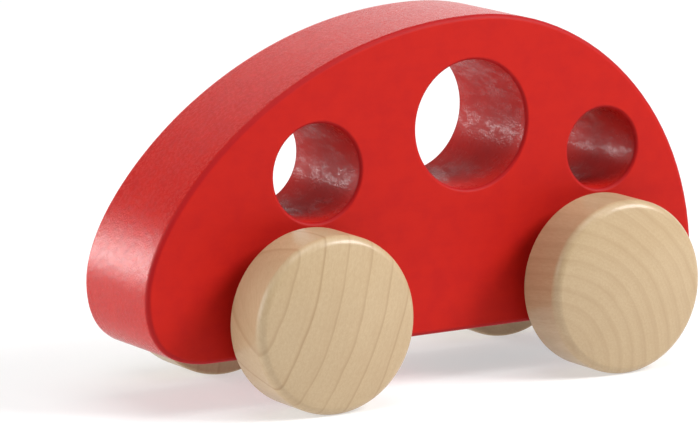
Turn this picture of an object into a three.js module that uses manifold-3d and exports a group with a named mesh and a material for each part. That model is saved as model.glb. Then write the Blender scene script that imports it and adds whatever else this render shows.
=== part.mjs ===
// A small wooden grip car with a pull-back motor, in millimetres, +X forward, +Y to the car's left, +Z up.
// The origin is on the ground, under the middle of the car. The body is one slab of wood with three
// finger windows. The front wheels share a dowel axle. The rear wheels share a steel axle that runs
// through a spring motor, which sits in a pocket milled from below and is closed by a screwed cover.
import * as THREE from "three";
import { mergeVertices } from "three/addons/utils/BufferGeometryUtils.js";
import Module from "manifold-3d";

const wasm = await Module();
wasm.setup();

// ---------- driving dimensions ----------
const BODY = {
  length: 130,
  top: 74.4, // height of the roof above the ground
  thickness: 26,
  edgeRadius: 1.2,
};
// The side outline is a chain of Bezier quarters. Each handle is the reach of the curve's control point.
const NOSE = { tipHeight: 23.7, underReach: 15.2, underHandle: 8.4, tipHandleDown: 10.8, tipHandleUp: 11.5 };
const SCREEN = { fromNose: 24.7, height: 58, slope: 34.9, handleDown: 15.1, handleUp: 16.5 };
const ROOF = { x: -11.9, handleFront: 21.2, handleRear: 28 };
const TAIL = { tipHeight: 19.3, underReach: 11, underHandle: 6, tipHandleDown: 5.2, tipHandleUp: 32.1 };
const WINDOWS = [
  { x: BODY.length / 2 - 39.2, z: 45.7, radius: 10 },
  { x: -10.6, z: 52.1, radius: 13.2 },
  { x: 22.6 - BODY.length / 2, z: 44.2, radius: 8.4 },
];

const WHEEL = { radius: 18, width: 12.2, crown: 1.9, innerEdge: 0.6, outerEdge: 2.2, socketDepth: 8 };
const FRONT_AXLE = { x: BODY.length / 2 - 34.2, radius: 3 };
const REAR_AXLE = { x: 26.8 - BODY.length / 2, radius: 1.5 };
const BUSH = { collarRadius: 5.5, collarLength: 3.6, wall: 1.4, spigotGap: 0.1, endPlay: 0.4 };
const RUNNING_GAP = 0.3; // an axle in its bush, a gear on its pin
const GLUE_GAP = 0.1; // an axle in a wheel, a gear pressed on a shaft

const MOTOR = {
  wall: 1.2,
  floor: 1.3,
  corner: 3,
  overCover: 0.6, // gap between the motor and its cover
  axleRoom: 0.475, // between the axle's winding gear and the wall below it
  gearRoom: 0.675, // between the largest gear and the walls above and below it
  frontRoom: 1.785, // between the spring's gears and the front wall
  rearRoom: 3.175, // between the axle's winding gear and the rear wall
};
// What lies across the motor from its left floor to its right one, each with the gap before it.
const LAYERS = [
  { name: "drive", gap: 0.4, thickness: 2 },
  { name: "spring", gap: 0.5, thickness: 2.3 },
  { name: "plate", gap: 0.8, thickness: 1 },
  { name: "winding", gap: 0.4, thickness: 2 },
  { name: "mainspring", gap: 0.5, thickness: 4.6 },
];
const LAST_GAP = 0.5; // between the mainspring and the right floor
const POCKET_GAP = 0.4; // motor in its pocket, cover in its recess
const COVER = { thickness: 2, ledge: 5.2 };

const GEAR = { module: 0.5, addendum: 0.85, dedendum: 1.2, pressure: 20, backlash: 0.09 };
const TEETH = { pinion: 12, drive: 28, drivePinion: 12, spring: 28, axleWinding: 14, idler: 18 };
const SHAFT = { arbor: 1.7, arborPivot: 1.1, pin: 0.75 };
const IDLER_LIFT = 1.1; // how far the idler has swung out of mesh with the axle's winding gear
const SPRING = { inner: 2.2, outer: 7.3, turns: 5, strip: 0.3 };

const CASING_SCREW = { radius: 0.9, headRadius: 1.6, headHeight: 0.9, boss: 2.1, inset: 2.5 };
const COVER_SCREW = { radius: 1, headRadius: 1.9, headHeight: 1.1, length: 9 };

const ROUND = 36; // facets on wheels and windows
const FINE = 20; // facets on axles and bushes
const SMALL = 10; // facets on pins and screws

// ---------- layout ----------
const half = BODY.thickness / 2;
const wheelInner = half + BUSH.collarLength + BUSH.endPlay;
const axleHeight = WHEEL.radius;

const stack = LAYERS.reduce((sum, { gap, thickness }) => sum + gap + thickness, LAST_GAP);
const motorHalf = MOTOR.floor + stack / 2;
const pocketHalf = motorHalf + POCKET_GAP;
const cheek = half - pocketHalf;

// The reach of each layer in y.
const layer = {};
let reached = motorHalf - MOTOR.floor;
for (const { name, gap, thickness } of LAYERS) {
  layer[name] = [reached - gap - thickness, reached - gap];
  reached -= gap + thickness;
}

const pitch = (teeth) => (teeth * GEAR.module) / 2;
const tipRadius = (teeth) => pitch(teeth) + GEAR.addendum * GEAR.module;
const meshDistance = (a, b) => pitch(a) + pitch(b);
const heading = (a, b) => Math.atan2(b.z - a.z, b.x - a.x);

// The motor hangs as far below the axle as its winding gear needs, and the body's flat underside lies below it.
const motorBottom = axleHeight - tipRadius(TEETH.axleWinding) - MOTOR.axleRoom - MOTOR.wall;
const underside = motorBottom - MOTOR.overCover - COVER.thickness;

// The drive gear and the spring arbor stand at one height, which leaves the largest gear its room.
const headroom = tipRadius(TEETH.spring) + MOTOR.gearRoom + MOTOR.wall;
const shaftHeight = motorBottom + headroom;
const axleAt = { x: REAR_AXLE.x, z: axleHeight };

// The point on the shafts' height, towards the front, that is a distance from a.
function aheadOf(a, distance) {
  return { x: a.x + Math.sqrt(distance ** 2 - (shaftHeight - a.z) ** 2), z: shaftHeight };
}

const driveAt = aheadOf(axleAt, meshDistance(TEETH.pinion, TEETH.drive));
const springAt = aheadOf(driveAt, meshDistance(TEETH.drivePinion, TEETH.spring));

// The idler stays in mesh with the spring's winding gear and stands clear of the axle's.
function idlerCentre() {
  const fromAxle = meshDistance(TEETH.axleWinding, TEETH.idler) + IDLER_LIFT;
  const fromSpring = meshDistance(TEETH.spring, TEETH.idler);
  const span = Math.hypot(springAt.x - axleAt.x, springAt.z - axleAt.z);
  const along = (span ** 2 + fromAxle ** 2 - fromSpring ** 2) / (2 * span);
  const lift = Math.sqrt(fromAxle ** 2 - along ** 2);
  const angle = heading(axleAt, springAt);
  return {
    x: axleAt.x + along * Math.cos(angle) - lift * Math.sin(angle),
    z: axleAt.z + along * Math.sin(angle) + lift * Math.cos(angle),
  };
}
const idlerAt = idlerCentre();

const motorEnds = {
  front: springAt.x + tipRadius(TEETH.spring) + MOTOR.frontRoom + MOTOR.wall,
  rear: axleAt.x - tipRadius(TEETH.axleWinding) - MOTOR.rearRoom - MOTOR.wall,
  bottom: motorBottom,
  top: shaftHeight + headroom,
};
const coverEnds = {
  front: motorEnds.front + POCKET_GAP + COVER.ledge,
  rear: motorEnds.rear - POCKET_GAP - COVER.ledge,
};
const coverScrewX = [coverEnds.front - COVER.ledge / 2, coverEnds.rear + COVER.ledge / 2];

// ---------- materials ----------
const MATERIALS = {
  redPaint: new THREE.MeshStandardMaterial({ color: 0xcc2420, roughness: 0.45 }),
  maple: new THREE.MeshStandardMaterial({ color: 0xdcc49c, roughness: 0.5 }),
  dowel: new THREE.MeshStandardMaterial({ color: 0xd2b384, roughness: 0.6 }),
  steel: new THREE.MeshStandardMaterial({ color: 0xb9bcc0, roughness: 0.3, metalness: 1 }),
  springSteel: new THREE.MeshStandardMaterial({ color: 0x6e757e, roughness: 0.35, metalness: 1 }),
  blackPlastic: new THREE.MeshStandardMaterial({ color: 0x26262a, roughness: 0.55 }),
  gearPlastic: new THREE.MeshStandardMaterial({ color: 0xe8e4d8, roughness: 0.45 }),
  bushPlastic: new THREE.MeshStandardMaterial({ color: 0xd9d4c6, roughness: 0.5 }),
};

// ---------- shape helpers ----------
// Extrudes a shape drawn in x and z, so that it fills y from `from` to `to`.
function slab(shape, from, to, options = {}) {
  const made = new THREE.ExtrudeGeometry(shape, {
    depth: to - from,
    bevelEnabled: false,
    curveSegments: ROUND / 2,
    ...options,
  });
  return made.rotateX(Math.PI / 2).translate(0, to, 0);
}

// Turns a profile of [radius, y] pairs about the y axis through x, z.
function turned(profile, x, z, facets) {
  const points = profile.map(([radius, y]) => new THREE.Vector2(radius, y));
  return new THREE.LatheGeometry(points, facets).translate(x, 0, z);
}

// A cylinder, or a tube when it has a bore, along y through x, z.
function round(radius, from, to, x, z, facets, bore = 0) {
  const outside = [[radius, from], [radius, to]];
  if (bore === 0) return turned([[0, from], ...outside, [0, to]], x, z, facets);
  return turned([[bore, from], ...outside, [bore, to], [bore, from]], x, z, facets);
}

function box(x0, x1, y0, y1, z0, z1) {
  return new THREE.BoxGeometry(x1 - x0, y1 - y0, z1 - z0).translate((x0 + x1) / 2, (y0 + y1) / 2, (z0 + z1) / 2);
}

function roundedRectangle(x0, x1, z0, z1, corner) {
  const shape = new THREE.Shape();
  shape.absarc(x1 - corner, z0 + corner, corner, -Math.PI / 2, 0);
  shape.absarc(x1 - corner, z1 - corner, corner, 0, Math.PI / 2);
  shape.absarc(x0 + corner, z1 - corner, corner, Math.PI / 2, Math.PI);
  shape.absarc(x0 + corner, z0 + corner, corner, Math.PI, 1.5 * Math.PI);
  return shape;
}

function circle(x, z, radius) {
  return new THREE.Path().absarc(x, z, radius, 0, 2 * Math.PI, true);
}

// ---------- solids: cutting and joining ----------
function solid(geometry) {
  const bare = geometry.clone();
  bare.deleteAttribute("normal");
  bare.deleteAttribute("uv");
  const merged = mergeVertices(bare, 1e-4);
  return new wasm.Manifold(
    new wasm.Mesh({
      numProp: 3,
      vertProperties: merged.attributes.position.array,
      triVerts: new Uint32Array(merged.index.array),
    }),
  );
}

function geometryOf(manifold) {
  const mesh = manifold.getMesh();
  const made = new THREE.BufferGeometry();
  made.setAttribute("position", new THREE.BufferAttribute(mesh.vertProperties, 3));
  made.setIndex(new THREE.BufferAttribute(mesh.triVerts, 1));
  return made;
}

function cut(base, ...tools) {
  return geometryOf(tools.reduce((rest, tool) => rest.subtract(solid(tool)), solid(base)));
}

function join(...pieces) {
  return geometryOf(pieces.map(solid).reduce((whole, piece) => whole.add(piece)));
}

// ---------- body ----------
function bodyOutline() {
  const { top } = BODY;
  const tip = BODY.length / 2;
  const screenX = tip - SCREEN.fromNose;
  const run = Math.cos(THREE.MathUtils.degToRad(SCREEN.slope));
  const rise = Math.sin(THREE.MathUtils.degToRad(SCREEN.slope));
  const shape = new THREE.Shape();
  shape.moveTo(-tip + TAIL.underReach, underside);
  shape.lineTo(tip - NOSE.underReach, underside);
  shape.bezierCurveTo(
    tip - NOSE.underReach + NOSE.underHandle, underside,
    tip, NOSE.tipHeight - NOSE.tipHandleDown,
    tip, NOSE.tipHeight,
  );
  shape.bezierCurveTo(
    tip, NOSE.tipHeight + NOSE.tipHandleUp,
    screenX + SCREEN.handleDown * run, SCREEN.height - SCREEN.handleDown * rise,
    screenX, SCREEN.height,
  );
  shape.bezierCurveTo(
    screenX - SCREEN.handleUp * run, SCREEN.height + SCREEN.handleUp * rise,
    ROOF.x + ROOF.handleFront, top,
    ROOF.x, top,
  );
  shape.bezierCurveTo(ROOF.x - ROOF.handleRear, top, -tip, TAIL.tipHeight + TAIL.tipHandleUp, -tip, TAIL.tipHeight);
  shape.bezierCurveTo(
    -tip, TAIL.tipHeight - TAIL.tipHandleDown,
    -tip + TAIL.underReach - TAIL.underHandle, underside,
    -tip + TAIL.underReach, underside,
  );
  return shape;
}

// A bush's spigot reaches through the motor pocket's cheek, and as far into the slab at the front.
function spigotRadius(axle) {
  return axle.radius + RUNNING_GAP + BUSH.wall;
}

function makeBody() {
  const shape = bodyOutline();
  for (const { x, z, radius } of WINDOWS) shape.holes.push(circle(x, z, radius));
  const r = BODY.edgeRadius;
  const blank = slab(shape, r - half, half - r, {
    bevelEnabled: true,
    bevelThickness: r,
    bevelSize: r,
    bevelOffset: -r,
    bevelSegments: 2,
  });
  const under = underside - 1;
  const tools = [
    round(FRONT_AXLE.radius + RUNNING_GAP, -half - 1, half + 1, FRONT_AXLE.x, axleHeight, FINE),
    round(spigotRadius(REAR_AXLE) + BUSH.spigotGap, -half - 1, half + 1, REAR_AXLE.x, axleHeight, FINE),
    box(
      motorEnds.rear - POCKET_GAP, motorEnds.front + POCKET_GAP, -pocketHalf, pocketHalf,
      under, motorEnds.top + POCKET_GAP,
    ),
    box(
      coverEnds.rear, coverEnds.front, -pocketHalf, pocketHalf,
      under, underside + COVER.thickness + POCKET_GAP,
    ),
  ];
  for (const side of [-1, 1]) {
    const [from, to] = side > 0 ? [half - cheek, half + 1] : [-half - 1, cheek - half];
    const seat = spigotRadius(FRONT_AXLE) + BUSH.spigotGap;
    tools.push(round(seat, from, to, FRONT_AXLE.x, axleHeight, FINE));
  }
  for (const x of coverScrewX) {
    const hole = round(COVER_SCREW.radius + GLUE_GAP, 0, COVER_SCREW.length + 2, 0, 0, SMALL);
    tools.push(hole.rotateX(Math.PI / 2).translate(x, 0, underside));
  }
  return cut(blank, ...tools);
}

// ---------- wheels, axles and bushes ----------
// A wheel for the +y side, about the axis y = 0 line, with its blind socket on the inner face.
function wheelProfile(axle) {
  const { radius, width, crown, innerEdge, outerEdge, socketDepth } = WHEEL;
  const bore = axle.radius + GLUE_GAP;
  const profile = [[0, socketDepth], [bore, socketDepth], [bore, 0]];
  for (let step = 0; step <= 2; step++) {
    const turn = (step / 2) * (Math.PI / 2);
    profile.push([radius - innerEdge + innerEdge * Math.sin(turn), innerEdge - innerEdge * Math.cos(turn)]);
  }
  // The outer edge rolls over until it meets the crowned face.
  const faceSlope = Math.atan((2 * crown) / (radius - outerEdge));
  for (let step = 0; step <= 4; step++) {
    const turn = (step / 4) * (Math.PI / 2 - faceSlope);
    profile.push([radius - outerEdge + outerEdge * Math.cos(turn), width - outerEdge + outerEdge * Math.sin(turn)]);
  }
  const [rimRadius, rimY] = profile.at(-1);
  for (const share of [0.7, 0.4, 0]) profile.push([rimRadius * share, rimY + crown * (1 - share * share)]);
  return profile;
}

function makeWheel(axle, side) {
  const made = turned(wheelProfile(axle), 0, 0, ROUND).translate(0, wheelInner, 0);
  if (side < 0) made.rotateX(Math.PI);
  return made.translate(axle.x, 0, axleHeight);
}

function makeAxle(axle) {
  const end = wheelInner + WHEEL.socketDepth - GLUE_GAP;
  const ease = axle.radius * 0.2;
  return turned(
    [[0, -end], [axle.radius - ease, -end], [axle.radius, ease - end],
      [axle.radius, end - ease], [axle.radius - ease, end], [0, end]],
    axle.x, axleHeight, FINE,
  );
}

function makeBush(axle, side) {
  const bore = axle.radius + RUNNING_GAP;
  const spigot = spigotRadius(axle);
  const collarEnd = half + BUSH.collarLength;
  const chamfer = 0.5;
  const made = turned(
    [[bore, half - cheek], [spigot, half - cheek], [spigot, half], [BUSH.collarRadius, half],
      [BUSH.collarRadius, collarEnd - chamfer], [BUSH.collarRadius - chamfer, collarEnd],
      [bore, collarEnd], [bore, half - cheek]],
    0, 0, FINE,
  );
  if (side < 0) made.rotateX(Math.PI);
  return made.translate(axle.x, 0, axleHeight);
}

// ---------- gears ----------
// An involute spur gear's outline about its own centre, with a tooth along the direction `phase`.
function gearShape(teeth, phase, bore) {
  const base = pitch(teeth) * Math.cos(THREE.MathUtils.degToRad(GEAR.pressure));
  const root = pitch(teeth) - GEAR.dedendum * GEAR.module;
  const tip = tipRadius(teeth);
  const involute = (radius) => {
    const angle = Math.acos(Math.min(1, base / radius));
    return Math.tan(angle) - angle;
  };
  const halfTooth = Math.PI / (2 * teeth) - GEAR.backlash / pitch(teeth);
  const flankAngle = (radius) => halfTooth + involute(pitch(teeth)) - involute(radius);
  const start = Math.max(root, base);
  const radii = [root, start + (tip - start) * 0.5, tip];
  const points = [];
  for (let tooth = 0; tooth < teeth; tooth++) {
    const middle = phase + (2 * Math.PI * tooth) / teeth;
    const add = (radius, angle) =>
      points.push(new THREE.Vector2(radius * Math.cos(middle + angle), radius * Math.sin(middle + angle)));
    for (const radius of radii) add(radius, -flankAngle(radius));
    for (const radius of [...radii].reverse()) add(radius, flankAngle(radius));
  }
  const shape = new THREE.Shape(points);
  shape.holes.push(circle(0, 0, bore));
  return shape;
}

function gear(teeth, phase, bore, reach, centre) {
  const made = slab(gearShape(teeth, phase, bore), ...reach, { curveSegments: SMALL / 2 });
  return made.translate(centre.x, 0, centre.z);
}

// ---------- motor ----------
const screwPlaces = [motorEnds.rear + CASING_SCREW.inset, motorEnds.front - CASING_SCREW.inset].flatMap((x) =>
  [motorEnds.bottom + CASING_SCREW.inset, motorEnds.top - CASING_SCREW.inset].map((z) => ({ x, z })),
);
const screwHead = CASING_SCREW.headRadius + GLUE_GAP;
const [plateFrom, plateTo] = layer.plate;
const clampGap = 0.1;

function casingShape(holes) {
  const shape = roundedRectangle(motorEnds.rear, motorEnds.front, motorEnds.bottom, motorEnds.top, MOTOR.corner);
  for (const { at, radius } of holes) shape.holes.push(circle(at.x, at.z, radius));
  return shape;
}

const axleHole = { at: axleAt, radius: REAR_AXLE.radius + RUNNING_GAP };
const arborHole = { at: springAt, radius: SHAFT.arborPivot + GLUE_GAP };
const pinHole = (at) => ({ at, radius: SHAFT.pin + GLUE_GAP });

// One half of the casing: a floor with the bearing holes, a wall, and a boss in each corner.
function makeCasingHalf(side) {
  const floor = [motorHalf - MOTOR.floor, motorHalf];
  const wallEnd = side > 0 ? plateTo + clampGap : -plateFrom + clampGap;
  const coarse = { curveSegments: SMALL / 2 };
  const inner = roundedRectangle(
    motorEnds.rear + MOTOR.wall, motorEnds.front - MOTOR.wall,
    motorEnds.bottom + MOTOR.wall, motorEnds.top - MOTOR.wall, MOTOR.corner - MOTOR.wall,
  );
  const wall = casingShape([]);
  wall.holes.push(inner);
  const holes = side > 0 ? [axleHole, arborHole, pinHole(driveAt)] : [axleHole, arborHole, pinHole(idlerAt)];
  const at = (range) => (side > 0 ? range : [-range[1], -range[0]]);
  let shell = solid(slab(casingShape(holes), ...at(floor), coarse)).add(
    solid(slab(wall, ...at([wallEnd, motorHalf]), coarse)),
  );
  for (const { x, z } of screwPlaces) {
    shell = shell.add(solid(round(CASING_SCREW.boss, ...at([wallEnd, motorHalf]), x, z, SMALL)));
    const bore = CASING_SCREW.radius + GLUE_GAP;
    const reach = side > 0 ? [wallEnd - 1, motorHalf - MOTOR.floor] : [wallEnd - 1, motorHalf + 1];
    shell = shell.subtract(solid(round(bore, ...at(reach), x, z, SMALL)));
    if (side < 0) {
      const sink = at([motorHalf - CASING_SCREW.headHeight - GLUE_GAP, motorHalf + 1]);
      shell = shell.subtract(solid(round(screwHead, ...sink, x, z, SMALL)));
    }
  }
  return geometryOf(shell);
}

// The plate between the halves carries the inner ends of the two gear pins.
function makeBearingPlate() {
  const holes = [
    axleHole,
    { at: springAt, radius: SHAFT.arbor + RUNNING_GAP },
    pinHole(driveAt),
    pinHole(idlerAt),
    ...screwPlaces.map((at) => ({ at, radius: CASING_SCREW.radius + GLUE_GAP })),
  ];
  return slab(casingShape(holes), plateFrom, plateTo, { curveSegments: SMALL / 2 });
}

function makeArbor() {
  const shoulder = motorHalf - MOTOR.floor - RUNNING_GAP;
  const end = motorHalf - GLUE_GAP;
  return turned(
    [[0, -end], [SHAFT.arborPivot, -end], [SHAFT.arborPivot, -shoulder], [SHAFT.arbor, -shoulder],
      [SHAFT.arbor, shoulder], [SHAFT.arborPivot, shoulder], [SHAFT.arborPivot, end], [0, end]],
    springAt.x, springAt.z, SMALL,
  );
}

// The large wheel and the small pinion of the drive gear are one moulding.
function makeDriveGear() {
  const bore = SHAFT.pin + RUNNING_GAP;
  const overlap = 0.2;
  const pinionLayer = [layer.spring[0], layer.drive[0] + overlap];
  return join(
    gear(TEETH.drive, heading(driveAt, axleAt) + Math.PI / TEETH.drive, bore, layer.drive, driveAt),
    gear(TEETH.drivePinion, heading(driveAt, springAt), bore, pinionLayer, driveAt),
  );
}

// A flat spiral strip wound clear of the arbor and of the casing.
function makeMainspring() {
  const { inner, outer, turns, strip } = SPRING;
  const perTurn = 14;
  const steps = turns * perTurn;
  const at = (step, offset) => {
    const angle = (2 * Math.PI * step) / perTurn;
    const radius = inner + strip / 2 + ((outer - inner - strip) * step) / steps + offset;
    return new THREE.Vector2(radius * Math.cos(angle), radius * Math.sin(angle));
  };
  const points = [];
  for (let step = 0; step <= steps; step++) points.push(at(step, strip / 2));
  for (let step = steps; step >= 0; step--) points.push(at(step, -strip / 2));
  return slab(new THREE.Shape(points), ...layer.mainspring).translate(springAt.x, 0, springAt.z);
}

function makeCasingScrew({ x, z }) {
  const headFrom = -motorHalf;
  const headTo = headFrom + CASING_SCREW.headHeight;
  const end = motorHalf - MOTOR.floor - 0.5;
  return turned(
    [[0, headFrom], [CASING_SCREW.headRadius, headFrom], [CASING_SCREW.headRadius, headTo],
      [CASING_SCREW.radius, headTo], [CASING_SCREW.radius, end], [0, end]],
    x, z, SMALL,
  );
}

// ---------- cover ----------
const coverGap = POCKET_GAP / 2;

function makeCover() {
  const width = 2 * pocketHalf - 2 * coverGap;
  const plan = roundedRectangle(coverEnds.rear + coverGap, coverEnds.front - coverGap, -width / 2, width / 2, 1);
  for (const x of coverScrewX) plan.holes.push(circle(x, 0, COVER_SCREW.radius + RUNNING_GAP));
  const plate = new THREE.ExtrudeGeometry(plan, {
    depth: COVER.thickness,
    bevelEnabled: false,
    curveSegments: SMALL / 2,
  }).translate(0, 0, underside);
  const sinks = coverScrewX.map((x) => {
    const sink = round(COVER_SCREW.headRadius + GLUE_GAP, -1, COVER_SCREW.headHeight + GLUE_GAP, 0, 0, SMALL);
    return sink.rotateX(Math.PI / 2).translate(x, 0, underside);
  });
  return cut(plate, ...sinks);
}

function makeCoverScrew(x) {
  const { radius, headRadius, headHeight, length } = COVER_SCREW;
  const made = turned(
    [[0, 0], [headRadius, 0], [headRadius, headHeight], [radius, headHeight],
      [radius, length - radius], [0, length]],
    0, 0, SMALL,
  );
  return made.rotateX(Math.PI / 2).translate(x, 0, underside);
}

// ---------- assembly ----------
const car = new THREE.Group();

function place(name, geometry, material) {
  const mesh = new THREE.Mesh(geometry, material);
  mesh.name = name;
  car.add(mesh);
}

place("body", makeBody(), MATERIALS.redPaint);
for (const [end, axle] of [["front", FRONT_AXLE], ["rear", REAR_AXLE]]) {
  for (const [flank, side] of [["left", 1], ["right", -1]]) {
    place(`wheel_${end}_${flank}`, makeWheel(axle, side), MATERIALS.maple);
    place(`bush_${end}_${flank}`, makeBush(axle, side), MATERIALS.bushPlastic);
  }
}
place("front_axle", makeAxle(FRONT_AXLE), MATERIALS.dowel);
place("rear_axle", makeAxle(REAR_AXLE), MATERIALS.steel);

const pressed = REAR_AXLE.radius + GLUE_GAP;
const onArbor = SHAFT.arbor + GLUE_GAP;
const toDrive = heading(axleAt, driveAt);
place("axle_pinion", gear(TEETH.pinion, toDrive, pressed, layer.drive, axleAt), MATERIALS.gearPlastic);
place("axle_winding_gear", gear(TEETH.axleWinding, 0, pressed, layer.winding, axleAt), MATERIALS.gearPlastic);
place("drive_gear", makeDriveGear(), MATERIALS.gearPlastic);
place(
  "spring_drive_gear",
  gear(TEETH.spring, heading(springAt, driveAt) + Math.PI / TEETH.spring, onArbor, layer.spring, springAt),
  MATERIALS.gearPlastic,
);
place(
  "spring_winding_gear",
  gear(TEETH.spring, heading(springAt, idlerAt), onArbor, layer.winding, springAt),
  MATERIALS.gearPlastic,
);
const toSpring = heading(idlerAt, springAt) + Math.PI / TEETH.idler;
place(
  "winding_idler",
  gear(TEETH.idler, toSpring, SHAFT.pin + RUNNING_GAP, layer.winding, idlerAt),
  MATERIALS.gearPlastic,
);
place(
  "drive_gear_pin",
  round(SHAFT.pin, plateFrom, motorHalf, driveAt.x, driveAt.z, SMALL),
  MATERIALS.steel,
);
place(
  "winding_idler_pin",
  round(SHAFT.pin, -motorHalf, plateTo, idlerAt.x, idlerAt.z, SMALL),
  MATERIALS.steel,
);
place("spring_arbor", makeArbor(), MATERIALS.steel);
place("mainspring", makeMainspring(), MATERIALS.springSteel);
place("motor_casing_left", makeCasingHalf(1), MATERIALS.blackPlastic);
place("motor_casing_right", makeCasingHalf(-1), MATERIALS.blackPlastic);
place("motor_bearing_plate", makeBearingPlate(), MATERIALS.steel);
screwPlaces.forEach((at, i) => place(`casing_screw_${i + 1}`, makeCasingScrew(at), MATERIALS.steel));
place("motor_cover", makeCover(), MATERIALS.blackPlastic);
coverScrewX.forEach((x, i) => place(`cover_screw_${i + 1}`, makeCoverScrew(x), MATERIALS.steel));

export default car;
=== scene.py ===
"""A palm-size wooden grip car: a red painted slab with three finger windows, on four maple disc wheels."""
import math

import bpy
from mathutils import Matrix, Vector


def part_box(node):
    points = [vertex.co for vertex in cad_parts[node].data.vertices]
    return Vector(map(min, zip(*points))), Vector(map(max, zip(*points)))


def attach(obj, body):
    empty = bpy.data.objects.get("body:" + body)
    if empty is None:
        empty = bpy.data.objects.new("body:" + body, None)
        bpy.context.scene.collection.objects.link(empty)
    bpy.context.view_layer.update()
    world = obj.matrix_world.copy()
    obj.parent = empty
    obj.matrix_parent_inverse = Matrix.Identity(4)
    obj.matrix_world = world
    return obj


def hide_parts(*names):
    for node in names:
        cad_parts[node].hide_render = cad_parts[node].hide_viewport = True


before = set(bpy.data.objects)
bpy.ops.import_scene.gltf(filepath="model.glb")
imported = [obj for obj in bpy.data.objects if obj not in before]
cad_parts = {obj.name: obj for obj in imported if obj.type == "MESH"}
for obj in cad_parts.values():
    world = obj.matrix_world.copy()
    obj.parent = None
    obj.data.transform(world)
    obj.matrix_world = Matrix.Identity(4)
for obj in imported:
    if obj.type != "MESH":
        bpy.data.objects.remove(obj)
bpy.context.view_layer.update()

MM = 0.001

# ---------- sizes, in millimetres ----------
BODY_EDGE = 1.2  # roundover of the slab's outer edge
WINDOW_EDGE = 0.8  # roundover of the window rims
# Outline control points: place, handle before, handle after, each as (x, z), clockwise from under the nose.
TIP = 65.0
TOP = 74.4
UNDERSIDE = 9.8
OUTLINE = [
    ((49.8, UNDERSIDE), (35.0, UNDERSIDE), (58.2, UNDERSIDE)),
    ((TIP, 23.7), (TIP, 12.9), (TIP, 35.2)),
    ((40.3, 58.0), (52.68, 49.36), (26.77, 67.44)),
    ((-11.9, TOP), (9.3, TOP), (-39.9, TOP)),
    ((-TIP, 19.3), (-TIP, 51.4), (-TIP, 14.1)),
    ((-54.0, UNDERSIDE), (-60.0, UNDERSIDE), (-45.0, UNDERSIDE)),
    ((-20.0, UNDERSIDE), (-30.0, UNDERSIDE), (-10.0, UNDERSIDE)),
    ((15.0, UNDERSIDE), (5.0, UNDERSIDE), (25.0, UNDERSIDE)),
]
WINDOWS = [(25.8, 45.7, 10.0), (-10.6, 52.1, 13.2), (-42.4, 44.2, 8.4)]  # x, z, radius
WHEEL_INNER_EDGE = 0.6
WHEEL_OUTER_EDGE = 2.2
WHEEL_CROWN = 1.9
SOCKET_DEPTH = 8.0
POCKET_GAP = 0.4  # round the motor in its pocket. The cover's recess has half of it.
GLUE_GAP = 0.1  # between pieces that are glued or pressed together
RUNNING_GAP = 0.3  # between an axle and its bush, and round a screw's shank
BUSH_WALL = 1.4
COVER_CORNER = 1.0  # rounding of the cover's four corners
COVER_EDGE = 0.2  # rounding of its rims
SINK_DEPTH = 1.2  # for the cover screws' heads
SCREW_SHANK = 1.0  # radius
SCREW_HEAD_HEIGHT = 1.1


# ---------- modelling helpers ----------
def deselect():
    bpy.ops.object.select_all(action="DESELECT")


def activate(piece):
    deselect()
    piece.select_set(True)
    bpy.context.view_layer.objects.active = piece


def edit(piece, mode="VERT"):
    activate(piece)
    bpy.ops.object.mode_set(mode="EDIT")
    bpy.ops.mesh.select_mode(type=mode)


def leave():
    bpy.ops.object.mode_set(mode="OBJECT")


def select_edges(piece, test):
    """Selects the edges for which test(edge, first corner, second corner) holds. Call it in edit mode."""
    bpy.ops.mesh.select_all(action="DESELECT")
    leave()
    mesh = piece.data
    for edge in mesh.edges:
        first, second = (mesh.vertices[i].co for i in edge.vertices)
        edge.select = test(edge, first, second)
    bpy.ops.object.mode_set(mode="EDIT")
    bpy.ops.mesh.select_mode(type="EDGE")


def settle(piece):
    """Puts the object's own transform into its mesh, so that the object sits at the origin."""
    activate(piece)
    bpy.ops.object.transform_apply(location=True, rotation=True, scale=True)


def merge(piece, distance=0.002):
    edit(piece)
    bpy.ops.mesh.select_all(action="SELECT")
    bpy.ops.mesh.remove_doubles(threshold=distance * MM)
    bpy.ops.mesh.normals_make_consistent(inside=False)
    leave()


def smooth(piece, angle=35):
    activate(piece)
    bpy.ops.object.shade_smooth_by_angle(angle=math.radians(angle))
    weights = piece.modifiers.new("even_shading", "WEIGHTED_NORMAL")
    weights.keep_sharp = True
    bpy.ops.object.modifier_apply(modifier=weights.name)


def cut(piece, tools):
    for tool in tools:
        knife = piece.modifiers.new("cut", "BOOLEAN")
        knife.operation = "DIFFERENCE"
        knife.solver = "EXACT"
        knife.object = tool
        activate(piece)
        bpy.ops.object.modifier_apply(modifier=knife.name)
        bpy.data.objects.remove(tool, do_unlink=True)


def block(x0, x1, y0, y1, z0, z1):
    deselect()
    centre = Vector(((x0 + x1) / 2, (y0 + y1) / 2, (z0 + z1) / 2)) * MM
    bpy.ops.mesh.primitive_cube_add(size=1, location=centre)
    made = bpy.context.object
    made.scale = Vector((x1 - x0, y1 - y0, z1 - z0)) * MM
    settle(made)
    return made


def rod(x, z, radius, y0, y1, facets=64):
    deselect()
    bpy.ops.mesh.primitive_cylinder_add(
        vertices=facets, radius=radius * MM, depth=(y1 - y0) * MM,
        location=Vector((x, (y0 + y1) / 2, z)) * MM, rotation=(math.pi / 2, 0, 0),
    )
    made = bpy.context.object
    settle(made)
    return made


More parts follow.
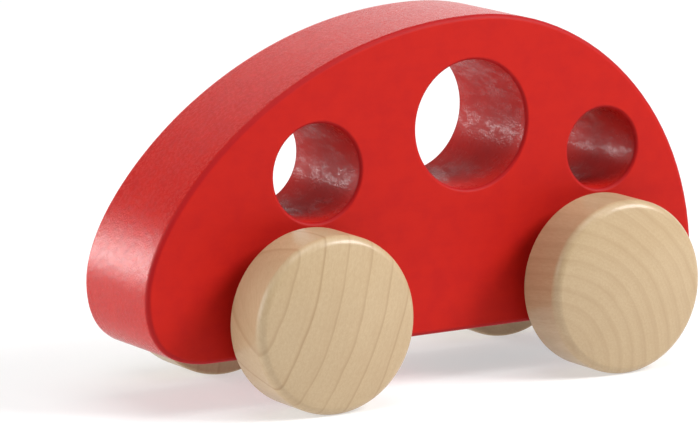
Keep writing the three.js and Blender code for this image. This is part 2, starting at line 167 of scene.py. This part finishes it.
def turned(name, profile, x=0.0, z=0.0, steps=96):
    """Draws a profile of (radius, y) corners by extruding a vertex, and spins it about the y axis at x, z."""
    deselect()
    first = Vector((x + profile[0][0], profile[0][1], z)) * MM
    bpy.ops.mesh.primitive_plane_add(size=MM, location=first)
    made = bpy.context.object
    made.name = name
    settle(made)
    edit(made)
    bpy.ops.mesh.select_all(action="SELECT")
    bpy.ops.mesh.merge(type="CENTER")
    for (r0, y0), (r1, y1) in zip(profile, profile[1:]):
        step = Vector((r1 - r0, y1 - y0, 0)) * MM
        bpy.ops.mesh.extrude_region_move(TRANSFORM_OT_translate={"value": step})
    bpy.ops.mesh.select_all(action="SELECT")
    bpy.ops.mesh.spin(steps=steps, angle=2 * math.pi, center=Vector((x, 0, z)) * MM, axis=(0, 1, 0))
    leave()
    merge(made)
    return made


def arc(centre_r, centre_y, radius, start, end, count):
    """Corners (radius, y) along a rounding, with angles in degrees from the outward direction towards +y."""
    corners = []
    for i in range(count + 1):
        turn = math.radians(start + (end - start) * i / count)
        corners.append((centre_r + radius * math.cos(turn), centre_y + radius * math.sin(turn)))
    return corners


def node_middle(node):
    low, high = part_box(node)
    return (Vector(low) + Vector(high)) / (2 * MM)


def node_size(node):
    low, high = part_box(node)
    return (Vector(high) - Vector(low)) / MM


# ---------- shader helpers ----------
class Value:
    """A shader socket that Python's operators work on by adding Math nodes."""

    def __init__(self, shader, socket):
        self.shader = shader
        self.socket = socket

    def math(self, operation, *others):
        inputs = dict(enumerate((self, *others)))
        return self.shader.node("ShaderNodeMath", {"operation": operation}, inputs)

    def __add__(self, other):
        return self.math("ADD", other)

    __radd__ = __add__

    def __sub__(self, other):
        return self.math("SUBTRACT", other)

    def __rsub__(self, other):
        return self.shader.node("ShaderNodeMath", {"operation": "SUBTRACT"}, {0: other, 1: self})

    def __mul__(self, other):
        return self.math("MULTIPLY", other)

    __rmul__ = __mul__

    def __truediv__(self, other):
        return self.math("DIVIDE", other)

    def between(self, low, high):
        """0 below low, 1 above high, and smooth in between. The two may be given in falling order."""
        settings = {"interpolation_type": "SMOOTHSTEP"}
        inputs = {"Value": self, "From Min": low, "From Max": high}
        return self.shader.node("ShaderNodeMapRange", settings, inputs)


class Shader:
    """One material, with a method that adds any node."""

    def __init__(self, name, tree=None):
        if tree is None:
            self.material = bpy.data.materials.new(name)
            self.material.use_nodes = True
            tree = self.material.node_tree
        self.tree = tree
        self.tree.nodes.clear()

    def node(self, kind, settings=None, inputs=None, output=0):
        made = self.tree.nodes.new(kind)
        for key, value in (settings or {}).items():
            setattr(made, key, value)
        for key, value in (inputs or {}).items():
            if isinstance(value, Value):
                self.tree.links.new(value.socket, made.inputs[key])
            else:
                made.inputs[key].default_value = value
        return Value(self, made.outputs[output]) if len(made.outputs) else made

    def place(self, move=(0, 0, 0)):
        """Object coordinates in millimetres, moved."""
        at = self.node("ShaderNodeTexCoord", output="Object")
        inputs = {"Vector": at, "Scale": (1 / MM,) * 3, "Location": move}
        return self.node("ShaderNodeMapping", None, inputs)

    def stretch(self, vector, factors):
        return self.node("ShaderNodeVectorMath", {"operation": "MULTIPLY"}, {0: vector, 1: factors})

    def noise(self, vector, scale, detail=2.0, roughness=0.5):
        inputs = {"Vector": vector, "Scale": scale, "Detail": detail, "Roughness": roughness}
        return self.node("ShaderNodeTexNoise", None, inputs)

    def parts(self, vector):
        split = self.node("ShaderNodeSeparateXYZ", None, {"Vector": vector})
        outputs = split.socket.node.outputs
        return [Value(self, outputs[i]) for i in range(3)]

    def mix(self, factor, first, second):
        """Mixes two colours, each an RGB triple or a colour socket."""
        inputs = {"Factor": factor}
        for socket, colour in ((6, first), (7, second)):
            inputs[socket] = colour if isinstance(colour, Value) else (*colour, 1.0)
        return self.node("ShaderNodeMix", {"data_type": "RGBA"}, inputs, output=2)

    def bump(self, height, depth, strength):
        """A bump of the given depth, in millimetres."""
        inputs = {"Height": height, "Distance": depth * MM, "Strength": strength}
        return self.node("ShaderNodeBump", None, inputs)

    def finish(self, **sockets):
        """One Principled shader. Its sockets are given by their names, with _ for a space."""
        inputs = {key.replace("_", " "): value for key, value in sockets.items()}
        for key, value in inputs.items():
            if isinstance(value, tuple) and len(value) == 3:
                inputs[key] = (*value, 1.0)
        return self.node("ShaderNodeBsdfPrincipled", None, inputs)

    def output(self, shader):
        self.node("ShaderNodeOutputMaterial", None, {"Surface": shader})
        return self.material

    def surface(self, **sockets):
        return self.output(self.finish(**sockets))


# ---------- finishes ----------
RED = (0.475, 0.0095, 0.0045)
RED_DEEP = (0.425, 0.007, 0.005)
# Painted shade: a darker red laid on the edge roundover, where the lamps leave no shade of their own.
RED_PAINTED_SHADE = (0.31, 0.005, 0.009)
HALF = 13.0  # from the middle plane to the painted face


def red_paint():
    """Satin lacquer: smooth on the sanded faces, and grainy and glossier on the sawn edges, where it soaked in.

    The walls of the windows are glossy only in blotches.
    """
    s = Shader("red_paint")
    at = s.place()
    along, across, up = s.parts(at)
    depth = across.math("ABSOLUTE")
    bored = along * 0.0
    for x, z, radius in WINDOWS:
        offset = ((along - x) * (along - x) + (up - z) * (up - z)).math("SQRT")
        bored = bored.math("MAXIMUM", offset.between(radius + 1.5, radius + 0.9))
    blotches = s.noise(s.stretch(at, (1.0, 0.45, 1.0)), 0.5, 4.0, 0.7).between(0.42, 0.62)
    sawn = depth.between(HALF - 0.4, HALF - BODY_EDGE) * (1 - bored * (1 - blotches * 0.7))
    # corner masks the roundover between the painted face and the sawn edge; the darker red mixed in there is
    # painted shade.
    corner = depth.between(HALF - BODY_EDGE, HALF - 0.7) * depth.between(HALF, HALF - 0.15)
    soak = s.noise(at, 0.22, 3.0, 0.6)
    pores = s.noise(at, 2.4, 2.0, 0.6)
    beads = s.noise(at, 1.1, 2.0, 0.55)
    brushed = s.noise(s.stretch(at, (0.12, 1.0, 1.0)), 0.8, 3.0, 0.6)
    tone = soak * 0.6 + brushed * 0.2 + pores * 0.2
    colour = s.mix(tone.between(0.28, 0.62), RED_DEEP, RED)
    colour = s.mix(corner * 0.6, colour, RED_PAINTED_SHADE)
    sanded = s.finish(
        Base_Color=colour, Roughness=0.55 + (pores - 0.5) * 0.2, Specular_IOR_Level=0.14,
        Normal=s.bump(pores, 0.012, 0.6),
    )
    grainy = s.finish(
        Base_Color=colour, Roughness=0.27 + (beads - 0.5) * 0.2, Specular_IOR_Level=0.24,
        Normal=s.bump(pores * 0.8 + beads * 0.4, 0.12, 0.9),
    )
    return s.output(s.node("ShaderNodeMixShader", None, {0: sawn, 1: sanded, 2: grainy}))


def maple(name, centre, along, pith, spacing, seed, soft):
    """Lacquered maple, whose rings stand round a pith line that runs along a direction beside the wheel."""
    s = Shader(name)
    turn = Vector(along).to_track_quat("Z", "Y").inverted()
    beside = turn @ Vector((pith[0], 0, pith[1]))
    at = s.place(move=(-centre[0], -centre[1], -centre[2]))
    grain = s.node("ShaderNodeMapping", None, {"Vector": at, "Rotation": tuple(turn.to_euler())})
    drift = s.noise(s.stretch(grain, (1.0, 1.0, 0.4)), 0.05, 2.0, 0.5)
    ripple = s.noise(s.stretch(grain, (1.0, 1.0, 0.3)), 0.4, 2.0, 0.5)
    u, v, _ = s.parts(grain)
    across, aside = u - beside.x, v - beside.y
    distance = (across * across + aside * aside).math("SQRT")
    rings = distance / spacing + drift * 0.7 + ripple * 0.06 + seed
    share = rings.math("FRACT")
    luck = s.node("ShaderNodeTexWhiteNoise", {"noise_dimensions": "1D"}, {"W": rings.math("FLOOR")})
    late = share.between(0.90 - soft * 0.5, 0.97) * share.between(1.0, 0.98 - soft * 0.2)
    band = share.between(0.0, 0.95) * 0.12 + late * (0.10 + luck * 0.45) * (1 - soft * 0.6)
    fine_rings = (rings * 3.7).math("FRACT").between(0.3, 0.9) * 0.07
    fibres = s.noise(s.stretch(grain, (2.6, 2.6, 0.35)), 1.0, 4.0, 0.75)
    flecks = s.noise(s.stretch(grain, (6.0, 6.0, 1.1)), 1.0, 2.0, 0.6).between(0.58, 0.74)
    cloud = s.noise(grain, 0.09, 3.0, 0.5)
    x, _, z = s.parts(at)
    radius = (x * x + z * z).math("SQRT")
    lathe = (radius * 11.0 + ripple * 3.0).math("SINE")
    hub = radius.between(6.0, 1.5)
    tone = band + fine_rings + (cloud - 0.5) * 0.5 + lathe * hub * 0.03 + flecks * 0.08
    colour = s.mix(tone.between(-0.15, 1.0), MAPLE_LIGHT, MAPLE_DARK)
    colour = s.mix(fibres.between(0.3, 0.7) * 0.45, colour, MAPLE_FIBRE)
    height = fibres * 0.5 - flecks * 0.4 + lathe * (0.05 + hub * 0.2)
    relief = s.bump(height, 0.03, 0.5)
    rough = 0.45 + (fibres - 0.5) * 0.2
    return s.surface(
        Base_Color=colour, Roughness=rough, Normal=relief, Specular_IOR_Level=0.4,
        Coat_Weight=0.3, Coat_Roughness=0.2,
    )


def dowel_wood():
    s = Shader("dowel_wood")
    at = s.place()
    fibres = s.noise(s.stretch(at, (4.0, 0.25, 4.0)), 1.0, 4.0, 0.65)
    pores = s.noise(s.stretch(at, (8.0, 0.9, 8.0)), 1.0, 3.0, 0.6).between(0.55, 0.72)
    colour = s.mix(fibres.between(0.3, 0.7), (0.62, 0.44, 0.25), (0.76, 0.60, 0.38))
    colour = s.mix(pores * 0.35, colour, (0.42, 0.26, 0.13))
    relief = s.bump(fibres - pores * 0.5, 0.05, 0.6)
    return s.surface(Base_Color=colour, Roughness=0.6 - pores * 0.1, Normal=relief)


def steel(name, tint, rough, streak):
    """Drawn or turned steel, with fine marks across the piece."""
    s = Shader(name)
    at = s.place()
    marks = s.noise(s.stretch(at, streak), 6.0, 3.0, 0.6)
    stain = s.noise(at, 0.5, 3.0, 0.55)
    darker = tuple(c * 0.72 for c in tint)
    colour = s.mix((marks * 0.5 + stain * 0.5).between(0.3, 0.7), darker, tint)
    relief = s.bump(marks, 0.01, 0.5)
    return s.surface(
        Base_Color=colour, Metallic=1.0, Normal=relief,
        Roughness=rough + (stain - 0.5) * 0.25 + (marks - 0.5) * 0.1,
    )


def plastic(name, tint, rough, grain_size, grain_depth):
    """Moulded plastic with a fine spark-eroded grain and slight flow marks."""
    s = Shader(name)
    at = s.place()
    flow = s.noise(s.stretch(at, (0.3, 1.0, 1.0)), 0.5, 3.0, 0.55)
    grain = s.noise(at, grain_size, 3.0, 0.6)
    lighter = tuple(min(1.0, c * 1.18 + 0.01) for c in tint)
    colour = s.mix(flow.between(0.3, 0.7) * 0.6 + grain * 0.3, tint, lighter)
    relief = s.bump(grain, grain_depth, 0.6)
    rough = rough + (grain - 0.5) * 0.2 + (flow - 0.5) * 0.1
    return s.surface(Base_Color=colour, Roughness=rough, Normal=relief)


PAINT = red_paint()
DOWEL = dowel_wood()
BRIGHT_STEEL = steel("bright_steel", (0.60, 0.61, 0.63), 0.28, (1.0, 0.15, 1.0))
PLATE_STEEL = steel("plate_steel", (0.52, 0.53, 0.55), 0.38, (0.1, 1.0, 1.0))
SPRING_STEEL = steel("spring_steel", (0.20, 0.23, 0.28), 0.32, (1.0, 0.1, 1.0))
CASING_BLACK = plastic("casing_black", (0.022, 0.022, 0.024), 0.48, 7.0, 0.03)
COVER_BLACK = plastic("cover_black", (0.025, 0.025, 0.027), 0.55, 4.0, 0.05)
GEAR_WHITE = plastic("gear_white", (0.78, 0.75, 0.67), 0.4, 5.0, 0.01)
BUSH_NYLON = plastic("bush_nylon", (0.70, 0.65, 0.54), 0.42, 4.0, 0.02)

# Each wheel is cut from another part of the board, so its rings run another way.
WHEEL_WOOD = {
    "wheel_front_left": dict(along=(0.25, 0.55, -0.80), pith=(35, 27), spacing=5.4, seed=0.35, soft=0.1),
    "wheel_rear_left": dict(along=(0.10, 1.0, 0.14), pith=(20, -17), spacing=3.1, seed=0.6, soft=1.0),
    "wheel_front_right": dict(along=(-0.3, 0.35, 0.9), pith=(-44, 10), spacing=4.4, seed=0.4, soft=0.3),
    "wheel_rear_right": dict(along=(0.2, 0.9, -0.4), pith=(-26, 24), spacing=3.4, seed=0.9, soft=0.8),
}
MAPLE_LIGHT = (0.50, 0.37, 0.22)
MAPLE_DARK = (0.32, 0.195, 0.09)
MAPLE_FIBRE = (0.395, 0.265, 0.135)


# ---------- body ----------
def body_outline():
    """A closed curve through the outline's control points, drawn in x and z."""
    deselect()
    bpy.ops.curve.primitive_bezier_circle_add(radius=TIP * MM)
    made = bpy.context.object
    bpy.ops.object.mode_set(mode="EDIT")
    bpy.ops.curve.select_all(action="SELECT")
    bpy.ops.curve.subdivide(number_cuts=1)
    bpy.ops.curve.handle_type_set(type="FREE_ALIGN")
    leave()
    for point, (place, before, after) in zip(made.data.splines[0].bezier_points, OUTLINE):
        point.handle_left_type = "FREE"
        point.handle_right_type = "FREE"
        point.co = Vector((*place, 0)) * MM
        point.handle_left = Vector((*before, 0)) * MM
        point.handle_right = Vector((*after, 0)) * MM
    return made


def window_cutter(x, z, radius, half):
    """A spool whose ends flare by the rim's roundover."""
    flare = radius + WINDOW_EDGE
    shoulder = half - WINDOW_EDGE
    profile = [(0, -half - 1), (flare, -half - 1)]
    profile += arc(flare, -shoulder, WINDOW_EDGE, -90, -180, 5)
    profile += arc(flare, shoulder, WINDOW_EDGE, 180, 90, 5)
    profile += [(flare, half + 1), (0, half + 1)]
    return turned("window_cutter", profile, x, z, steps=128)


def make_body():
    half = node_size("body").y / 2
    made = body_outline()
    shape = made.data
    shape.dimensions = "2D"
    shape.fill_mode = "BOTH"
    shape.resolution_u = 28
    shape.extrude = half * MM
    made.rotation_euler = (math.pi / 2, 0, 0)
    activate(made)
    bpy.ops.object.convert(target="MESH")
    made = bpy.context.object
    made.name = "painted_body"
    settle(made)
    merge(made)
    edit(made, "FACE")
    bpy.ops.mesh.select_all(action="SELECT")
    bpy.ops.mesh.dissolve_limited(angle_limit=math.radians(0.05))
    select_edges(made, lambda edge, a, b: a.y * b.y > 0)
    bpy.ops.mesh.bevel(offset=BODY_EDGE * MM, segments=6, profile=0.5, affect="EDGES", clamp_overlap=False)
    leave()
    tools = [window_cutter(x, z, radius, half) for x, z, radius in WINDOWS]

    # The motor's pocket, the recess of its cover, and the bores for the axles and their bushes.
    case_low, case_high = (Vector(c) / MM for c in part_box("motor_casing_left"))
    cover_low, cover_high = (Vector(c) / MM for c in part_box("motor_cover"))
    gap, around = POCKET_GAP, POCKET_GAP / 2
    side = cover_high.y + around
    tools += [
        block(case_low.x - gap, case_high.x + gap, -side, side, 0, case_high.z + gap),
        block(cover_low.x - around, cover_high.x + around, -side, side, 0, cover_high.z + gap),
    ]
    for end in ("front", "rear"):
        axle = node_middle(f"{end}_axle")
        bore = node_size(f"{end}_axle").x / 2 + RUNNING_GAP
        spigot = bore + BUSH_WALL + GLUE_GAP
        if end == "rear":
            tools.append(rod(axle.x, axle.z, spigot, -half - 1, half + 1))
            continue
        tools.append(rod(axle.x, axle.z, bore, -half - 1, half + 1))
        for flank in ("left", "right"):
            low, high = (Vector(c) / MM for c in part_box(f"bush_{end}_{flank}"))
            reach = (low.y, half + 1) if flank == "left" else (-half - 1, high.y)
            tools.append(rod(axle.x, axle.z, spigot, *reach))
    cut(made, tools)
    merge(made, 0.001)
    smooth(made)
    made.data.materials.append(PAINT)
    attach(made, "chassis")
    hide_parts("body")


# ---------- wheels ----------
def wheel_profile(radius, width, bore):
    """Corners from the bottom of the blind socket, over the rim, to the middle of the crowned face."""
    slope = math.degrees(math.atan(2 * WHEEL_CROWN / (radius - WHEEL_OUTER_EDGE)))
    corners = [(0, SOCKET_DEPTH), (bore, SOCKET_DEPTH), (bore, 0.3), (bore + 0.3, 0)]
    corners += arc(radius - WHEEL_INNER_EDGE, WHEEL_INNER_EDGE, WHEEL_INNER_EDGE, -90, 0, 4)
    shoulder = width - WHEEL_CROWN - WHEEL_OUTER_EDGE * math.cos(math.radians(slope))
    corners += arc(radius - WHEEL_OUTER_EDGE, shoulder, WHEEL_OUTER_EDGE, 0, 90 - slope, 10)
    rim, height = corners[-1]
    for i in range(1, 13):
        share = 1 - i / 12
        corners.append((rim * share, height + WHEEL_CROWN * (1 - share * share)))
    return corners


def make_wheel(node, end, side):
    low, high = (Vector(c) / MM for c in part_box(node))
    middle = (low + high) / 2
    size = high - low
    bore = node_size(f"{end}_axle").x / 2 + GLUE_GAP
    made = turned(f"{node}_maple", wheel_profile(size.z / 2, size.y, bore), steps=128)
    made.location = Vector((middle.x, low.y if side > 0 else high.y, middle.z)) * MM
    if side < 0:
        made.rotation_euler = (math.pi, 0, 0)
    settle(made)
    smooth(made)
    made.data.materials.append(maple(f"maple_{node}", middle, **WHEEL_WOOD[node]))
    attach(made, f"{end}_wheelset")
    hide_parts(node)


# ---------- axles and bushes ----------
def make_axle(end, material):
    node = f"{end}_axle"
    middle, size = node_middle(node), node_size(node)
    radius, reach = size.x / 2, size.y / 2
    ease = radius * 0.2
    profile = [(0, -reach), (radius - ease, -reach), (radius, ease - reach)]
    profile += [(radius, reach - ease), (radius - ease, reach), (0, reach)]
    made = turned(f"{node}_rod", profile, middle.x, middle.z, steps=64)
    smooth(made)
    made.data.materials.append(material)
    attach(made, f"{end}_wheelset")
    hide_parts(node)


def make_bush(node, end, side):
    low, high = (Vector(c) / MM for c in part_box(node))
    middle = (low + high) / 2
    half = node_size("body").y / 2
    bore = node_size(f"{end}_axle").x / 2 + RUNNING_GAP
    spigot, collar = bore + BUSH_WALL, (high.z - low.z) / 2
    reach = max(abs(low.y), abs(high.y))
    inner = min(abs(low.y), abs(high.y))
    round_by = 0.7
    profile = [(bore, inner), (spigot - 0.2, inner), (spigot, inner + 0.2), (spigot, half), (collar, half)]
    profile += arc(collar - round_by, reach - round_by, round_by, 0, 90, 5)
    profile += [(bore + 0.3, reach), (bore, reach - 0.3), (bore, inner)]
    made = turned(f"{node}_sleeve", profile, steps=64)
    if side < 0:
        made.rotation_euler = (math.pi, 0, 0)
    made.location = Vector((middle.x, 0, middle.z)) * MM
    settle(made)
    smooth(made)
    made.data.materials.append(BUSH_NYLON)
    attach(made, "chassis")
    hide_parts(node)


# ---------- small fittings ----------
def crossed(made, place, along, size, depth):
    """Cuts a cross recess into a screw head, at place, which is the head's middle, along an axis."""
    tools = []
    for wide, narrow in ((size, size * 0.28), (size * 0.28, size)):
        spans = [wide, narrow]
        spans.insert({"x": 0, "y": 1, "z": 2}[along], depth * 2)
        low = [p - s / 2 for p, s in zip(place, spans)]
        high = [p + s / 2 for p, s in zip(place, spans)]
        tools.append(block(low[0], high[0], low[1], high[1], low[2], high[2]))
    cut(made, tools)


def make_cover_screw(node):
    low, high = (Vector(c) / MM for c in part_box(node))
    middle = (low + high) / 2
    head, length = (high.x - low.x) / 2, high.z - low.z
    shank, head_height = SCREW_SHANK, SCREW_HEAD_HEIGHT
    profile = [(0, 0), (head - 0.35, 0), (head, 0.35), (head, head_height), (shank, head_height)]
    pitch = 0.9
    y = head_height + 0.6
    while y < length - 1.6:
        profile += [(shank - 0.18, y), (shank, y + pitch * 0.5), (shank - 0.18, y + pitch * 0.95)]
        y += pitch
    profile += [(0.35, length - 0.3), (0, length)]
    made = turned(f"{node}_threaded", profile, steps=32)
    made.rotation_euler = (math.pi / 2, 0, 0)
    made.location = Vector((middle.x, middle.y, low.z)) * MM
    settle(made)
    crossed(made, (middle.x, middle.y, low.z), "z", head * 1.1, 0.7)
    smooth(made, 30)
    made.data.materials.append(BRIGHT_STEEL)
    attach(made, "chassis")
    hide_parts(node)


def make_cover():
    """The motor's cover: a plate with eased corners, bored and sunk for its two screws."""
    low, high = (Vector(c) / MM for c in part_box("motor_cover"))
    made = block(low.x, high.x, low.y, high.y, low.z, high.z)
    made.name = "motor_cover_plate"
    edit(made, "EDGE")
    select_edges(made, lambda edge, a, b: abs(a.z - b.z) > MM)
    bpy.ops.mesh.bevel(offset=COVER_CORNER * MM, segments=6, affect="EDGES")
    bpy.ops.mesh.select_all(action="DESELECT")
    bpy.ops.mesh.edges_select_sharp(sharpness=math.radians(60))
    bpy.ops.mesh.bevel(offset=COVER_EDGE * MM, segments=3, affect="EDGES")
    leave()
    tools = []
    for number in (1, 2):
        screw_low, screw_high = (Vector(c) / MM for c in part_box(f"cover_screw_{number}"))
        middle = (screw_low + screw_high) / 2
        head = (screw_high.x - screw_low.x) / 2
        hole = SCREW_SHANK + RUNNING_GAP
        for radius, top in ((head + GLUE_GAP, low.z + SINK_DEPTH), (hole, high.z + 1)):
            deselect()
            bpy.ops.mesh.primitive_cylinder_add(
                vertices=48, radius=radius * MM, depth=(top - low.z + 1) * MM,
                location=Vector((middle.x, middle.y, (top + low.z - 1) / 2)) * MM,
            )
            tools.append(bpy.context.object)
    cut(made, tools)
    smooth(made, 30)
    made.data.materials.append(COVER_BLACK)
    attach(made, "chassis")
    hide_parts("motor_cover")


CARRIED_OVER = {
    "motor_casing_left": CASING_BLACK,
    "motor_casing_right": CASING_BLACK,
    "motor_bearing_plate": PLATE_STEEL,
    "casing_screw_1": BRIGHT_STEEL,
    "casing_screw_2": BRIGHT_STEEL,
    "casing_screw_3": BRIGHT_STEEL,
    "casing_screw_4": BRIGHT_STEEL,
    "axle_pinion": GEAR_WHITE,
    "axle_winding_gear": GEAR_WHITE,
    "drive_gear": GEAR_WHITE,
    "drive_gear_pin": BRIGHT_STEEL,
    "spring_drive_gear": GEAR_WHITE,
    "spring_winding_gear": GEAR_WHITE,
    "spring_arbor": BRIGHT_STEEL,
    "winding_idler": GEAR_WHITE,
    "winding_idler_pin": BRIGHT_STEEL,
    "mainspring": SPRING_STEEL,
}


def finish_motor():
    for name, material in CARRIED_OVER.items():
        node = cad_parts[name]
        if not node.material_slots:
            node.data.materials.append(material)
        for slot in node.material_slots:
            slot.material = material


# ---------- studio ----------
def make_floor():
    deselect()
    bpy.ops.mesh.primitive_plane_add(size=12)
    floor = bpy.context.object
    floor.name = "studio_floor"
    s = Shader("studio_white")
    s.surface(
        Base_Color=(0.52, 0.52, 0.52), Roughness=0.9, Specular_IOR_Level=0.1,
        Emission_Color=(1.0, 1.0, 1.0), Emission_Strength=0.48,
    )
    floor.data.materials.append(s.material)


def make_world():
    """A dim sky with a bright band low behind the car, like a lit backdrop."""
    world = bpy.data.worlds.new("studio_sky")
    world.use_nodes = True
    bpy.context.scene.world = world
    s = Shader("sky", world.node_tree)
    direction = s.node("ShaderNodeTexCoord", output="Generated")
    x, y, z = s.parts(direction)
    behind = (y * -1.0).between(0.2, 0.7)
    beyond = (x * -0.45 + y * -0.89).between(0.70, 0.93)
    backdrop = (behind * z.between(0.12, 0.04)).math("MAXIMUM", beyond * z.between(0.62, 0.42))
    level = SKY["low"] + z.between(0.5, 1.0) * SKY["high"] + backdrop * SKY["back"]
    background = s.node("ShaderNodeBackground", None, {"Color": (1, 1, 1, 1), "Strength": level})
    s.node("ShaderNodeOutputWorld", None, {"Surface": background})


def softbox(name, azimuth, elevation, distance, size, power):
    """An area light turned to the car's middle. Azimuth 0 is on the +y side, and it grows towards +x."""
    a, e = math.radians(azimuth), math.radians(elevation)
    away = Vector((math.sin(a) * math.cos(e), math.cos(a) * math.cos(e), math.sin(e)))
    light = bpy.data.lights.new(name, "AREA")
    light.shape = "RECTANGLE"
    light.size, light.size_y = size
    light.energy = power
    lamp = bpy.data.objects.new(name, light)
    lamp.location = LIT_POINT + away * distance
    lamp.rotation_mode = "QUATERNION"
    lamp.rotation_quaternion = away.to_track_quat("Z", "Y")
    bpy.context.scene.collection.objects.link(lamp)


def make_camera():
    az, el, roll = (math.radians(CAMERA[key]) for key in ("azimuth", "elevation", "roll"))
    forward = Vector((-math.sin(az) * math.cos(el), -math.cos(az) * math.cos(el), -math.sin(el)))
    right = forward.cross(Vector((0, 0, 1))).normalized()
    up = right.cross(forward)
    right, up = (
        right * math.cos(roll) + up * math.sin(roll),
        up * math.cos(roll) - right * math.sin(roll),
    )
    turn = Matrix((right, up, -forward)).transposed()
    data = bpy.data.cameras.new("camera")
    data.lens = CAMERA["lens"]
    data.sensor_width = 36
    data.shift_x, data.shift_y = CAMERA["shift"]
    data.clip_start = 0.05
    data.clip_end = 50
    camera = bpy.data.objects.new("camera", data)
    camera.matrix_world = Matrix.Translation(Vector(CAMERA["place"]) * MM) @ turn.to_4x4()
    bpy.context.scene.collection.objects.link(camera)
    bpy.context.scene.camera = camera


LIT_POINT = Vector((0, 0, 0.035))
CAMERA = dict(
    place=(519.0, 841.2, 215.8), azimuth=31.27, elevation=10.46, roll=-0.52,
    lens=253.3, shift=(-0.0147, -0.0029),
)
SKY = dict(low=0.08, high=0.35, back=1.2)

bpy.context.scene.view_settings.view_transform = "Standard"
make_camera()
make_world()
make_floor()
softbox("key", -48, 36, 1.2, (0.6, 0.5), 16.5)
softbox("fill", 104, 16, 1.2, (1.0, 0.6), 8)
softbox("strip", 149, 8, 1.2, (0.22, 0.2), 4.5)
softbox("top", 10, 78, 1.4, (1.1, 0.9), 8.5)

make_body()
for end in ("front", "rear"):
    for flank, side in (("left", 1), ("right", -1)):
        make_wheel(f"wheel_{end}_{flank}", end, side)
        make_bush(f"bush_{end}_{flank}", end, side)
make_axle("front", DOWEL)
make_axle("rear", BRIGHT_STEEL)
make_cover()
for number in (1, 2):
    make_cover_screw(f"cover_screw_{number}")
finish_motor()
